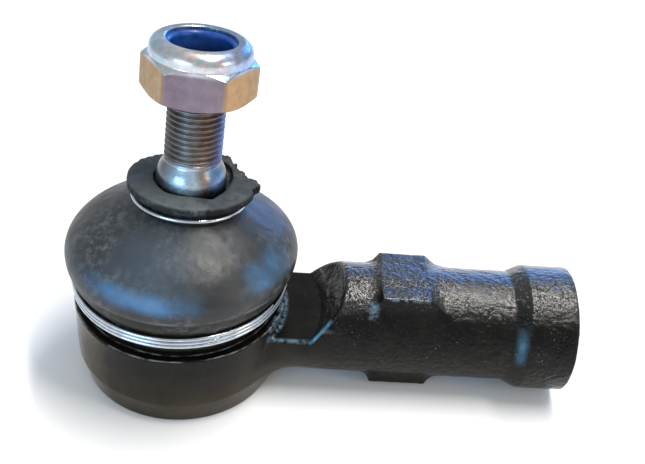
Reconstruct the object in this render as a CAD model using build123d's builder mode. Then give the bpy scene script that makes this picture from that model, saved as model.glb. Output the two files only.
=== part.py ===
"""Tie rod end: a forged housing with a threaded shank, a ball stud in two seat rings, a rubber boot and a lock nut.

Millimetres. The origin is on the housing's axis, in the plane that the part stands on. +Z runs up the housing's axis
towards the stud, and +X along the shank to its open end. The stud leans by its swing at rest.
"""

from build123d import *
import math
import os

# Ball joint
BALL_HEIGHT = 14.0  # ball centre above the base
BALL_RADIUS = 9.5
BALL_FLAT_RADIUS = 3.0  # flat at the foot of the ball
SEAT_CLEARANCE = 0.05
SWING_AT_REST = 7.4  # degrees from the housing's axis
SWING_HEADING = 66.0  # degrees from +X, the way the stud leans

# Stud, measured along its own axis from the ball centre
NECK_RADIUS = 4.7
NECK_TOP = 12.0
TAPER_FOOT = 16.5
TAPER_TOP = 25.6
TAPER_TOP_RADIUS = 6.05
TAPER_HALF_SLOPE = 0.05  # 1:10 on the diameter
SHOULDER_MIDDLE = (5.58, 27.3)
THREAD_RADIUS = 4.93  # M10 x 1, over the crests
THREAD_FOOT = 28.6
STUD_TIP = 46.4
TIP_CHAMFER = 0.8

# Housing cup, radii about +Z
CUP_RADIUS = 19.1
CUP_TOP = 15.9
CUP_DRAFT_EDGE = 5.8
CUP_DRAFT_RADIUS = 18.9
CUP_FOOT_RADIUS = 17.9
BOSS_RADIUS = 17.6
BOSS_TOP = 18.9
GROOVE_RADIUS = 16.2  # the boot's foot sits in this groove
GROOVE_TOP = 21.9
MOUTH_TOP = 23.2
MOUTH_RADIUS = 11.2
BEAD_RADIUS = 17.0
THROAT_RADIUS = 8.6
THROAT_TOP = 21.2
SEAT_BORE_RADIUS = 11.45
SEAT_SHOULDER = 20.0
PLATE_RADIUS = 12.3
PLATE_BOTTOM = 0.9
PLATE_TOP = 2.6
RIM_RADIUS = 11.2  # the rolled rim that holds the closing plate

# Shank, radii about its own axis
SHANK_HEIGHT = 11.6
NECK_END_X = 35.0
SHANK_NECK_RADIUS = 10.1
TUBE_RADIUS = 10.25
COLLAR_RADIUS = 11.6
COLLAR_START_X = 60.6
COLLAR_FULL_X = 63.2
SHANK_END_X = 72.0
COLLAR_CHAMFER = 0.7
THREAD_BORE_RADIUS = 6.19  # M14 x 1.5, tapping size
BORE_END_X = 33.0
BORE_MOUTH_CHAMFER = 0.9
DRILL_ANGLE = 118.0

# Spanner block on the shank
SPANNER_ACROSS = 21.0
SPANNER_HALF_WIDTH = 6.8
SPANNER_FOOT_X = 34.4
SPANNER_START_X = 36.4
SPANNER_END_X = 44.8
SPANNER_TOE_X = 48.2

# Relief in the shank's neck, which clears the boot
RELIEF_FLOOR = 13.6
RELIEF_FLOOR_RADIUS = 25.8
RELIEF_KNEE = 19.2
RELIEF_TOP_RADIUS = 29.5

# Boot
BOOT_WALL = 1.8
FOOT_BOTTOM = 18.95
FOOT_TOP = 21.6
FOOT_RADIUS = 18.55
LIP_RADIUS = 10.8
LIP_BOTTOM = 22.9
LIP_TOP = 24.6
LIP_HOLE_RADIUS = 6.9
LIP_SEAL_RADIUS = 6.45
COLLAR_GROOVE_RADIUS = 9.25
COLLAR_GROOVE_FOOT = 20.5

# Wire rings that clamp the boot
LOWER_WIRE_RADIUS = 0.38
LOWER_RING_RADIUS = 19.03
LOWER_TURNS = 2.35
UPPER_WIRE_RADIUS = 0.4
UPPER_RING_RADIUS = 9.68
UPPER_TURNS = 1.1
WIRE_GAP = 0.03

# Lock nut, M10
NUT_ACROSS = 17.0
NUT_BOTTOM = 40.2
NUT_HEX_TOP = 47.0
NUT_TOP = 49.9
NUT_BORE_RADIUS = 5.0
NUT_CROWN_RADIUS = 8.45
NUT_CROWN_MOUTH_RADIUS = 5.9
NUT_WASHER_RADIUS = 8.1
NUT_TURN = 23.0  # degrees from the swing axis, how the hexagon stands on the stud
INSERT_RADIUS = 6.7
INSERT_BORE_RADIUS = 4.99
INSERT_BOTTOM = 45.9
INSERT_TOP = 49.2
FIT_GAP = 0.03  # between pieces that are pressed or seated together

BALL = Vector(0, 0, BALL_HEIGHT)
SHANK_AXIS = Axis((0, 0, SHANK_HEIGHT), (1, 0, 0))
HEADING = math.radians(SWING_HEADING)
SWING_AXIS = Vector(-math.sin(HEADING), math.cos(HEADING), 0)


def swung(share):
    """Direction of the stud's axis when it takes this share of the swing at rest."""
    lean = math.radians(SWING_AT_REST * share)
    side = math.sin(lean)
    return Vector(side * math.cos(HEADING), side * math.sin(HEADING), math.cos(lean))


def cross_plane(distance, share=1.0):
    """Plane square to the swung axis, this far from the ball centre."""
    return Plane(origin=BALL + swung(share) * distance, x_dir=SWING_AXIS, z_dir=swung(share))


STUD_AXIS = Axis(BALL, swung(1.0))
STUD_SECTION = Plane(origin=BALL, x_dir=SWING_AXIS, z_dir=SWING_AXIS.cross(swung(1.0)))


def taper_radius(distance):
    """Radius of the stud's 1:10 taper at this distance from the ball centre."""
    return TAPER_TOP_RADIUS + (TAPER_TOP - distance) * TAPER_HALF_SLOPE


def finish(builder, name):
    """Labels a finished piece and writes it as parts/name.step."""
    builder.part.label = name
    export_step(builder.part, f"parts/{name}.step")


os.makedirs("parts", exist_ok=True)

# ---------------------------------------------------------------- housing: cup, shank and spanner block in one forging
with BuildPart() as housing:
    # solid cup
    with BuildSketch(Plane.XZ):
        with BuildLine():
            Polyline(
                (0, 0),
                (CUP_FOOT_RADIUS, 0),
                (CUP_DRAFT_RADIUS, CUP_DRAFT_EDGE),
                (CUP_RADIUS, CUP_TOP),
                (BOSS_RADIUS, CUP_TOP),
                (BOSS_RADIUS, BOSS_TOP),
                (GROOVE_RADIUS, BOSS_TOP),
                (GROOVE_RADIUS, GROOVE_TOP),
                (BEAD_RADIUS, GROOVE_TOP + 0.3),
                (BEAD_RADIUS, MOUTH_TOP - 0.4),
                (BEAD_RADIUS - 0.4, MOUTH_TOP),
                (0, MOUTH_TOP),
                close=True,
            )
        make_face()
    revolve(axis=Axis.Z)
    cup_foot = housing.edges().group_by(Axis.Z)[0]
    fillet(cup_foot, radius=1.3)

    # round shank, with its collar at the open end
    with BuildSketch(Plane.XZ):
        with BuildLine():
            Polyline(
                (0, SHANK_HEIGHT),
                (0, SHANK_HEIGHT + SHANK_NECK_RADIUS),
                (NECK_END_X, SHANK_HEIGHT + TUBE_RADIUS),
                (COLLAR_START_X, SHANK_HEIGHT + TUBE_RADIUS),
                (COLLAR_FULL_X, SHANK_HEIGHT + COLLAR_RADIUS),
                (SHANK_END_X - COLLAR_CHAMFER, SHANK_HEIGHT + COLLAR_RADIUS),
                (SHANK_END_X, SHANK_HEIGHT + COLLAR_RADIUS - COLLAR_CHAMFER),
                (SHANK_END_X, SHANK_HEIGHT),
                close=True,
            )
        make_face()
    revolve(axis=SHANK_AXIS)

    # spanner block: flats above and below, sloped where the tube goes on
    with BuildSketch(Plane.XZ.offset(-SPANNER_HALF_WIDTH)):
        half = SPANNER_ACROSS / 2
        with BuildLine():
            Polyline(
                (SPANNER_FOOT_X, SHANK_HEIGHT + half - 2.5),
                (SPANNER_START_X, SHANK_HEIGHT + half),
                (SPANNER_END_X, SHANK_HEIGHT + half),
                (SPANNER_TOE_X, SHANK_HEIGHT + half - 2.5),
                (SPANNER_TOE_X, SHANK_HEIGHT - half + 2.5),
                (SPANNER_END_X + 1.6, SHANK_HEIGHT - half),
                (SPANNER_START_X, SHANK_HEIGHT - half),
                (SPANNER_FOOT_X, SHANK_HEIGHT - half + 2.5),
                close=True,
            )
        make_face()
    extrude(amount=2 * SPANNER_HALF_WIDTH)

    # relief that clears the boot
    with BuildSketch(Plane.XZ):
        with BuildLine():
            Polyline(
                (CUP_RADIUS + 0.1, RELIEF_FLOOR),
                (RELIEF_FLOOR_RADIUS, RELIEF_FLOOR),
                (RELIEF_TOP_RADIUS, RELIEF_KNEE),
                (RELIEF_TOP_RADIUS, MOUTH_TOP),
                (CUP_RADIUS + 0.1, MOUTH_TOP),
                close=True,
            )
        make_face()
    revolve(axis=Axis.Z, mode=Mode.SUBTRACT)
    # shank material above the cup's ledge, outside the boot's groove
    with BuildSketch(Plane.XZ):
        with BuildLine():
            Polyline(
                (BOSS_RADIUS, CUP_TOP),
                (CUP_RADIUS + 0.2, CUP_TOP),
                (CUP_RADIUS + 0.2, MOUTH_TOP),
                (BEAD_RADIUS, MOUTH_TOP),
                (BEAD_RADIUS, GROOVE_TOP + 0.3),
                (GROOVE_RADIUS, GROOVE_TOP),
                (GROOVE_RADIUS, BOSS_TOP),
                (BOSS_RADIUS, BOSS_TOP),
                close=True,
            )
        make_face()
    revolve(axis=Axis.Z, mode=Mode.SUBTRACT)

    # ball cavity, throat and the recess for the closing plate
    with BuildSketch(Plane.XZ):
        with BuildLine():
            Polyline(
                (0, 0),
                (RIM_RADIUS + 0.5, 0),
                (RIM_RADIUS, 0.5),
                (RIM_RADIUS, PLATE_BOTTOM),
                (PLATE_RADIUS + FIT_GAP, PLATE_BOTTOM),
                (PLATE_RADIUS + FIT_GAP, PLATE_TOP + FIT_GAP),
                (SEAT_BORE_RADIUS, PLATE_TOP + FIT_GAP),
                (SEAT_BORE_RADIUS, SEAT_SHOULDER),
                (THROAT_RADIUS, SEAT_SHOULDER),
                (THROAT_RADIUS, THROAT_TOP),
                (MOUTH_RADIUS, MOUTH_TOP),
                (0, MOUTH_TOP),
                close=True,
            )
        make_face()
    revolve(axis=Axis.Z, mode=Mode.SUBTRACT)

    # threaded bore, with its drill point and a chamfered mouth
    drill_depth = THREAD_BORE_RADIUS / math.tan(math.radians(DRILL_ANGLE / 2))
    with BuildSketch(Plane.XZ):
        with BuildLine():
            Polyline(
                (BORE_END_X - drill_depth, SHANK_HEIGHT),
                (BORE_END_X, SHANK_HEIGHT + THREAD_BORE_RADIUS),
                (SHANK_END_X - BORE_MOUTH_CHAMFER, SHANK_HEIGHT + THREAD_BORE_RADIUS),
                (SHANK_END_X, SHANK_HEIGHT + THREAD_BORE_RADIUS + BORE_MOUTH_CHAMFER),
                (SHANK_END_X, SHANK_HEIGHT),
                close=True,
            )
        make_face()
    revolve(axis=SHANK_AXIS, mode=Mode.SUBTRACT)
finish(housing, "housing")

# ---------------------------------------------------------------- closing plate, rolled into the housing's foot
with BuildPart() as closing_plate:
    with BuildSketch(Plane.XY.offset(PLATE_BOTTOM + FIT_GAP)):
        Circle(PLATE_RADIUS)
    extrude(amount=PLATE_TOP - PLATE_BOTTOM - FIT_GAP)
    with BuildSketch(Plane.XY.offset(PLATE_BOTTOM + FIT_GAP)):
        Circle(5.0)
    extrude(amount=0.5, taper=20, mode=Mode.SUBTRACT)
finish(closing_plate, "closing_plate")

# ---------------------------------------------------------------- disc spring that presses the lower seat on the ball
SPRING_FOOT = PLATE_TOP + FIT_GAP
SPRING_THICKNESS = 0.8
SPRING_DISH = 0.5
with BuildPart() as preload_spring:
    with BuildSketch(Plane.XZ):
        with BuildLine():
            Polyline(
                (10.6, SPRING_FOOT),
                (10.6, SPRING_FOOT + SPRING_THICKNESS),
                (5.0, SPRING_FOOT + SPRING_THICKNESS + SPRING_DISH),
                (5.0, SPRING_FOOT + SPRING_DISH),
                close=True,
            )
        make_face()
    revolve(axis=Axis.Z)
finish(preload_spring, "preload_spring")

# ---------------------------------------------------------------- seat rings
SEAT_RADIUS = BALL_RADIUS + SEAT_CLEARANCE
SEAT_OUTER = SEAT_BORE_RADIUS - FIT_GAP
SEAT_SPLIT = 0.25  # half the gap between the rings, about the ball's equator
LOWER_SEAT_BOTTOM = SPRING_FOOT + SPRING_THICKNESS + SPRING_DISH + FIT_GAP
UPPER_SEAT_TOP = SEAT_SHOULDER - FIT_GAP
SEAT_EDGE = 19.2  # where the upper seat's sphere gives way to a cone that clears the leaning neck


def seat_angle(height):
    """Angle above the ball's equator, in degrees, at which the seat's sphere reaches this height."""
    return math.degrees(math.asin((height - BALL_HEIGHT) / SEAT_RADIUS))


with BuildPart() as bearing_upper:
    with BuildSketch(Plane.XZ):
        with BuildLine():
            foot = BALL_HEIGHT + SEAT_SPLIT
            low, high = seat_angle(foot), seat_angle(SEAT_EDGE)
            sphere = CenterArc((0, BALL_HEIGHT), SEAT_RADIUS, low, high - low)
            Polyline(
                sphere @ 0,
                (SEAT_OUTER, foot),
                (SEAT_OUTER, UPPER_SEAT_TOP),
                (THROAT_RADIUS, UPPER_SEAT_TOP),
                sphere @ 1,
            )
        make_face()
    revolve(axis=Axis.Z)
finish(bearing_upper, "bearing_upper")

with BuildPart() as bearing_lower:
    with BuildSketch(Plane.XZ):
        with BuildLine():
            top = BALL_HEIGHT - SEAT_SPLIT
            hole = 4.0
            hole_angle = -math.degrees(math.acos(hole / SEAT_RADIUS))
            sphere = CenterArc((0, BALL_HEIGHT), SEAT_RADIUS, hole_angle, seat_angle(top) - hole_angle)
            Polyline(
                sphere @ 0,
                (hole, LOWER_SEAT_BOTTOM),
                (SEAT_OUTER, LOWER_SEAT_BOTTOM),
                (SEAT_OUTER, top),
                sphere @ 1,
            )
        make_face()
    revolve(axis=Axis.Z)
finish(bearing_lower, "bearing_lower")

# ---------------------------------------------------------------- ball stud: ball, neck, taper, shoulder and thread
with BuildPart() as ball_stud:
    with BuildSketch(STUD_SECTION):
        with BuildLine():
            flat_angle = -math.degrees(math.acos(BALL_FLAT_RADIUS / BALL_RADIUS))
            neck_angle = math.degrees(math.acos(NECK_RADIUS / BALL_RADIUS))
            ball = CenterArc((0, 0), BALL_RADIUS, flat_angle, neck_angle - flat_angle)
            taper_foot = (taper_radius(TAPER_FOOT), TAPER_FOOT)
            taper_top = (TAPER_TOP_RADIUS, TAPER_TOP)
            Polyline(ball @ 1, (NECK_RADIUS, NECK_TOP), taper_foot, taper_top)
            shoulder = ThreePointArc(
                taper_top,
                SHOULDER_MIDDLE,
                (THREAD_RADIUS, THREAD_FOOT),
            )
            Polyline(
                shoulder @ 1,
                (THREAD_RADIUS, STUD_TIP - TIP_CHAMFER),
                (THREAD_RADIUS - TIP_CHAMFER, STUD_TIP),
                (0, STUD_TIP),
                (0, (ball @ 0).Y),
                ball @ 0,
            )
        make_face()
    revolve(axis=STUD_AXIS)
finish(ball_stud, "ball_stud")

# ---------------------------------------------------------------- rubber boot: foot, domed wall and lip
# distance from the ball centre, outer radius, share of the swing that the wall takes there
DOME = [
    (FOOT_TOP - BALL_HEIGHT, FOOT_RADIUS, 0.0),
    (9.6, 19.7, 0.1),
    (12.0, 20.35, 0.3),
    (14.2, 19.7, 0.55),
    (16.3, 17.7, 0.8),
    (18.2, 14.6, 0.95),
    (19.6, 12.0, 1.0),
    (COLLAR_GROOVE_FOOT, 10.4, 1.0),
]
DOME_INSIDE = [
    (FOOT_TOP - BALL_HEIGHT, FOOT_RADIUS - BOOT_WALL + 0.4, 0.0),
    (9.6, 18.0, 0.1),
    (12.0, 18.5, 0.3),
    (14.0, 17.8, 0.52),
    (15.6, 16.0, 0.75),
    (17.0, 13.3, 0.9),
    (18.1, 10.6, 0.98),
    (18.8, 8.4, 1.0),
]
with BuildPart() as boot:
    for distance, radius, share in DOME:
        with BuildSketch(cross_plane(distance, share)):
            Circle(radius)
    loft()
    for distance, radius, share in DOME_INSIDE:
        with BuildSketch(cross_plane(distance, share)):
            Circle(radius)
    loft(mode=Mode.SUBTRACT)
    # foot in the housing's groove
    with BuildSketch(Plane.XZ):
        with BuildLine():
            Polyline(
                (GROOVE_RADIUS + SEAT_CLEARANCE, FOOT_BOTTOM),
                (FOOT_RADIUS, FOOT_BOTTOM),
                (FOOT_RADIUS, FOOT_TOP),
                (GROOVE_RADIUS + SEAT_CLEARANCE, FOOT_TOP),
                close=True,
            )
        make_face()
    revolve(axis=Axis.Z)
    # collar and lip round the stud
    with BuildSketch(STUD_SECTION):
        with BuildLine():
            Polyline(
                (LIP_SEAL_RADIUS, 18.8),
                (8.4, 18.8),
                (10.4, COLLAR_GROOVE_FOOT),
                (COLLAR_GROOVE_RADIUS, COLLAR_GROOVE_FOOT + 0.1),
                (COLLAR_GROOVE_RADIUS, LIP_BOTTOM),
                (LIP_RADIUS, LIP_BOTTOM),
                (LIP_RADIUS, LIP_TOP),
                (LIP_HOLE_RADIUS, LIP_TOP),
                (LIP_SEAL_RADIUS, LIP_TOP - 1.4),
                close=True,
            )
        make_face()
    revolve(axis=STUD_AXIS)
    # the lip's bore runs clear through the dome's crown
    with BuildSketch(cross_plane(18.0)):
        Circle(LIP_SEAL_RADIUS)
    extrude(amount=LIP_TOP - 18.0 - 1.4, mode=Mode.SUBTRACT)
finish(boot, "boot")


# ---------------------------------------------------------------- wire rings, each one wound wire
def wound_ring(plane, wire_radius, ring_radius, turns):
    """A wire wound round the plane's axis, with the middle of its height on the plane."""
    pitch = 2 * wire_radius + WIRE_GAP
    foot = plane.offset(-pitch * turns / 2)
    with BuildPart() as ring:
        with BuildLine():
            wire = Helix(pitch, pitch * turns, ring_radius, center=foot.origin, direction=foot.z_dir)
        with BuildSketch(Plane(origin=wire @ 0, z_dir=wire % 0)):
            Circle(wire_radius)
        sweep(path=wire, is_frenet=True)
    return ring


LOWER_RING_HEIGHT = 20.3
UPPER_RING_DISTANCE = 21.75
lower_plane = Plane.XY.offset(LOWER_RING_HEIGHT)
upper_plane = cross_plane(UPPER_RING_DISTANCE)
boot_ring_lower = wound_ring(lower_plane, LOWER_WIRE_RADIUS, LOWER_RING_RADIUS, LOWER_TURNS)
finish(boot_ring_lower, "boot_ring_lower")
boot_ring_upper = wound_ring(upper_plane, UPPER_WIRE_RADIUS, UPPER_RING_RADIUS, UPPER_TURNS)
finish(boot_ring_upper, "boot_ring_upper")

# ---------------------------------------------------------------- lock nut: hexagon with a crown, and its nylon ring
with BuildPart() as nut_body:
    with BuildSketch(cross_plane(NUT_BOTTOM)):
        RegularPolygon(radius=NUT_ACROSS / 2, side_count=6, major_radius=False, rotation=NUT_TURN)
    extrude(amount=NUT_TOP - NUT_BOTTOM)
    # outer form: chamfered hexagon below, round crown above
    corner = NUT_ACROSS / math.sqrt(3) * 0.99
    with BuildSketch(STUD_SECTION):
        with BuildLine():
            rise = corner - NUT_WASHER_RADIUS
            Polyline(
                (0, NUT_BOTTOM),
                (NUT_WASHER_RADIUS, NUT_BOTTOM),
                (corner, NUT_BOTTOM + rise * 0.55),
                (corner, NUT_HEX_TOP - (corner - NUT_CROWN_RADIUS) * 0.8),
                (NUT_CROWN_RADIUS, NUT_HEX_TOP),
                (NUT_CROWN_RADIUS, NUT_HEX_TOP + 0.9),
            )
            crown = TangentArc(
                (NUT_CROWN_RADIUS, NUT_HEX_TOP + 0.9),
                (NUT_CROWN_RADIUS - 1.9, NUT_TOP),
                tangent=(0, 1),
            )
            Polyline(crown @ 1, (0, NUT_TOP), (0, NUT_BOTTOM))
        make_face()
    revolve(axis=STUD_AXIS, mode=Mode.INTERSECT)
    # threaded bore, insert seat and the rolled-in mouth of the crown
    with BuildSketch(STUD_SECTION):
        with BuildLine():
            Polyline(
                (0, NUT_BOTTOM),
                (NUT_BORE_RADIUS + 0.5, NUT_BOTTOM),
                (NUT_BORE_RADIUS, NUT_BOTTOM + 0.5),
                (NUT_BORE_RADIUS, INSERT_BOTTOM - FIT_GAP),
                (INSERT_RADIUS + FIT_GAP, INSERT_BOTTOM - FIT_GAP),
                (INSERT_RADIUS + FIT_GAP, INSERT_TOP + FIT_GAP),
                (NUT_CROWN_MOUTH_RADIUS, INSERT_TOP + FIT_GAP),
                (NUT_CROWN_MOUTH_RADIUS, NUT_TOP),
                (0, NUT_TOP),
                close=True,
            )
        make_face()
    revolve(axis=STUD_AXIS, mode=Mode.SUBTRACT)
finish(nut_body, "nut_body")

with BuildPart() as nut_insert:
    with BuildSketch(cross_plane(INSERT_BOTTOM)):
        Circle(INSERT_RADIUS)
        Circle(INSERT_BORE_RADIUS, mode=Mode.SUBTRACT)
    extrude(amount=INSERT_TOP - INSERT_BOTTOM)
    mouth = nut_insert.edges().filter_by(GeomType.CIRCLE).sort_by(STUD_AXIS)[-2:]
    chamfer(mouth.sort_by(SortBy.RADIUS)[0], length=0.45)
finish(nut_insert, "nut_insert")
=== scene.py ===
import math

import bpy
import numpy as np
import openvdb
from mathutils import Matrix, Vector, noise


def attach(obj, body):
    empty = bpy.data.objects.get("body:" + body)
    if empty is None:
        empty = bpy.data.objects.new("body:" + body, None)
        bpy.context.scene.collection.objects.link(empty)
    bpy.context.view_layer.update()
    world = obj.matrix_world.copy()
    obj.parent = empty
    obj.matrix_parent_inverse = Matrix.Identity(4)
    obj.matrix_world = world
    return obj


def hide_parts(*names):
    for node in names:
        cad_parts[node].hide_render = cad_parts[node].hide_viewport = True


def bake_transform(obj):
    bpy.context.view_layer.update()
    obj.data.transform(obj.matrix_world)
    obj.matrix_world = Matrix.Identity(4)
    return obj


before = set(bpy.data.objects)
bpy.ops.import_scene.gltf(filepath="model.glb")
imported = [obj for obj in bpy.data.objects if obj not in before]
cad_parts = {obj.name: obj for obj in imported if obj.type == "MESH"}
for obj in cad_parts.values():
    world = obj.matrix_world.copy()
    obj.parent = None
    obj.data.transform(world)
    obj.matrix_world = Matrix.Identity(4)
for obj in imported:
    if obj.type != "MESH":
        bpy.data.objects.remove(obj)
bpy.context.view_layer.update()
MM = 0.001
TAU = 2 * math.pi

# ---------------------------------------------------------------- sizes, in millimetres
BALL = np.array([0.0, 0.0, 14.0])
BALL_RADIUS = 9.5
LEAN = math.radians(7.4)
HEADING = math.radians(66.0)
SHANK_Z = 11.6
SHANK_END = 72.0
SHANK_PITCH = 1.5
SHANK_THREAD_DEPTH = 0.85
BORE_MAJOR = 7.05
BORE_MINOR = 6.19
BORE_END = 33.0
RELIEF_FLOOR = 13.6
RELIEF_SLOPE = 0.643  # how far the relief's wall leans back for each millimetre that it rises
STEP_TOP = 15.9  # top of the cup's widest part
MOULD_LINE = 25.2
LIP_FOOT = 36.2

# the stud and the nut, measured from the ball centre along the stud
MAJOR, MINOR, PITCH = 4.93, 4.36, 1.0
THREAD_START = 28.6
TIP = 46.4
TIP_CHAMFER = 0.9
BOTTOM, HEX_TOP, NUT_TOP = 40.2, 47.0, 49.9


def axis_at(share):
    """Direction of the stud's axis at a share of its lean."""
    side = math.sin(LEAN * share)
    return np.array([side * math.cos(HEADING), side * math.sin(HEADING), math.cos(LEAN * share)])


def stud_matrix(share=1.0, distance=0.0):
    """Row-frame placing of something drawn about its own Z from the ball centre, its X towards the shank."""
    z = axis_at(share)
    x = np.array([1.0, 0.0, 0.0])
    x = x - z * (x @ z)
    x /= np.linalg.norm(x)
    y = np.cross(z, x)
    m = Matrix.Identity(4)
    origin = (BALL + z * distance) * MM
    for row in range(3):
        m[row] = (x[row], y[row], z[row], origin[row])
    return m


# ---------------------------------------------------------------- mesh helpers
def make_object(name, verts, faces, matrix=None, smooth=True):
    """A mesh from points in metres and faces that all have the same number of corners."""
    mesh = bpy.data.meshes.new(name)
    verts = np.asarray(verts, np.float32).reshape(-1, 3)
    faces = np.asarray(faces, np.int32)
    mesh.vertices.add(len(verts))
    mesh.vertices.foreach_set("co", verts.ravel())
    mesh.loops.add(faces.size)
    mesh.loops.foreach_set("vertex_index", faces.ravel())
    mesh.polygons.add(len(faces))
    mesh.polygons.foreach_set("loop_start", np.arange(0, faces.size, faces.shape[1], dtype=np.int32))
    mesh.update(calc_edges=True)
    mesh.validate()
    mesh.polygons.foreach_set("use_smooth", np.full(len(mesh.polygons), smooth))
    obj = bpy.data.objects.new(name, mesh)
    bpy.context.scene.collection.objects.link(obj)
    if matrix is not None:
        obj.matrix_world = matrix
    return obj


def grid_faces(rows, cols, wrap_rows=False):
    """Quads of a grid whose columns go round."""
    last = rows if wrap_rows else rows - 1
    i, j = np.meshgrid(np.arange(last), np.arange(cols), indexing="ij")
    i2, j2 = (i + 1) % rows, (j + 1) % cols
    quads = np.stack([i * cols + j, i * cols + j2, i2 * cols + j2, i2 * cols + j], -1)
    return quads.reshape(-1, 4)


def all_round(values, cols):
    """An array with one row for each value, the same in every column of a turn."""
    return np.repeat(np.asarray(values, float).reshape(-1, 1), cols, axis=1)


def lathe(name, radius, height, matrix=None, closed=True):
    """Surface about Z from (rows, cols) arrays of radius and height in mm over a turn. It faces outwards
    where its rows run from low to high on the outside."""
    rows, cols = radius.shape
    angle = np.arange(cols) * TAU / cols
    x = radius * np.cos(angle)
    y = radius * np.sin(angle)
    verts = np.stack([x, y, height], -1).reshape(-1, 3) * MM
    return make_object(name, verts, grid_faces(rows, cols, closed), matrix)


def thread_vee(pitches, steepness, flat):
    """A thread's profile from 0 to 1; pitches says how many pitches along the thread each point lies."""
    return np.clip(np.abs(pitches % 1.0 - 0.5) * steepness - flat, 0, 1)


def resample(points, step):
    """Points along a polyline at about this spacing, keeping its corners."""
    out = [np.array(points[0], float)]
    for a, b in zip(points[:-1], points[1:]):
        a, b = np.array(a, float), np.array(b, float)
        n = max(1, int(round(np.linalg.norm(b - a) / step)))
        out += [a + (b - a) * k / n for k in range(1, n + 1)]
    return np.array(out)


def spline(points, step):
    """Points along a Catmull-Rom curve through these points, spaced by their first two values."""
    p = np.array(points, float)
    p = np.vstack([2 * p[0] - p[1], p, 2 * p[-1] - p[-2]])
    out = []
    for i in range(1, len(p) - 2):
        a, b, c, d = p[i - 1], p[i], p[i + 1], p[i + 2]
        n = max(2, int(round(np.linalg.norm((c - b)[:2]) / step)))
        for t in np.arange(n) / n:
            square = (2 * a - 5 * b + 4 * c - d) * t**2
            cube = (3 * b - a - 3 * c + d) * t**3
            out.append(0.5 * (2 * b + (c - a) * t + square + cube))
    out.append(p[-2])
    return np.array(out)


def smooth_step(a, b, x):
    """0 on a's side, 1 on b's side, and a smooth change between them."""
    t = np.clip((x - a) / (b - a), 0, 1)
    return t * t * (3 - 2 * t)


def smin(a, b, k):
    """The smaller of two distances, with the corner where they meet blended over k."""
    h = np.maximum(k - np.abs(a - b), 0) / k
    return np.minimum(a, b) - h * h * k / 4


def smax(a, b, k):
    return -smin(-a, -b, k)


def poly_distance(points, u, v):
    """Signed distance to a closed polygon, negative inside."""
    best = np.full(u.shape, np.inf)
    inside = np.zeros(u.shape, bool)
    n = len(points)
    for i in range(n):
        (ax, ay), (bx, by) = points[i], points[(i + 1) % n]
        ex, ey = bx - ax, by - ay
        wx, wy = u - ax, v - ay
        t = np.clip((wx * ex + wy * ey) / (ex * ex + ey * ey), 0, 1)
        best = np.minimum(best, (wx - ex * t) ** 2 + (wy - ey * t) ** 2)
        if ey != 0:
            crosses = ((ay > v) != (by > v)) & (u < ax + (v - ay) * ex / ey)
            inside ^= crosses
    return np.sqrt(best) * np.where(inside, -1, 1)


# ---------------------------------------------------------------- node helpers
def nodes_of(name):
    """A new material, its node tree, its surface node, and coordinates in mm in the object's own frame."""
    mat = bpy.data.materials.new(name)
    mat.use_nodes = True
    tree = mat.node_tree
    bsdf = tree.nodes["Principled BSDF"]
    coords = tree.nodes.new("ShaderNodeTexCoord")
    scale = tree.nodes.new("ShaderNodeMapping")
    scale.inputs["Scale"].default_value = (1000, 1000, 1000)
    tree.links.new(coords.outputs["Object"], scale.inputs["Vector"])
    return mat, tree, bsdf, scale.outputs["Vector"]


def feed(tree, socket, value):
    """Links a socket to another node's output, or sets it to a number or a colour; a number can be a grey."""
    if isinstance(value, bpy.types.NodeSocket):
        tree.links.new(value, socket)
    elif hasattr(value, "__len__"):
        socket.default_value = (*value, 1.0)
    elif socket.type == "RGBA":
        socket.default_value = (value, value, value, 1.0)
    else:
        socket.default_value = value


def add_noise(tree, vector, size, detail=3.0, rough=0.5, distort=0.0):
    """Noise with features about this many millimetres across."""
    n = tree.nodes.new("ShaderNodeTexNoise")
    n.inputs["Scale"].default_value = 1.0 / size
    n.inputs["Detail"].default_value = detail
    n.inputs["Roughness"].default_value = rough
    n.inputs["Distortion"].default_value = distort
    tree.links.new(vector, n.inputs["Vector"])
    return n.outputs["Fac"]


def ramp(tree, fac, stops):
    """Colours or greys along a value from 0 to 1: each stop is a place on it and what it gives there."""
    r = tree.nodes.new("ShaderNodeValToRGB")
    r.color_ramp.interpolation = "LINEAR"
    while len(r.color_ramp.elements) < len(stops):
        r.color_ramp.elements.new(0.5)
    for element, (place, colour) in zip(r.color_ramp.elements, stops):
        element.position = place
        if not hasattr(colour, "__len__"):
            colour = (colour, colour, colour)
        element.color = (*colour, 1.0)
    tree.links.new(fac, r.inputs["Fac"])
    return r.outputs["Color"]


def mottled(tree, vector, size, detail, *stops, rough=0.5, distort=0.0):
    """Colours or greys scattered by noise: each stop is a level of the noise and what it gives there."""
    return ramp(tree, add_noise(tree, vector, size, detail, rough, distort), stops)


def mix(tree, fac, a, b, blend="MIX"):
    """b laid over a by this factor."""
    m = tree.nodes.new("ShaderNodeMix")
    m.data_type = "RGBA"
    m.blend_type = blend
    feed(tree, m.inputs["Factor"], fac)
    feed(tree, m.inputs["A"], a)
    feed(tree, m.inputs["B"], b)
    return m.outputs["Result"]


def times(tree, first, *others):
    """Product of masks, greys or colours."""
    for other in others:
        first = mix(tree, 1.0, first, other, "MULTIPLY")
    return first


def lightest(tree, first, *others):
    """The largest of several masks at each place."""
    for other in others:
        first = mix(tree, 1.0, first, other, "LIGHTEN")
    return first


def math_node(tree, op, a, b=0.0):
    m = tree.nodes.new("ShaderNodeMath")
    m.operation = op
    feed(tree, m.inputs[0], a)
    feed(tree, m.inputs[1], b)
    return m.outputs["Value"]


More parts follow.
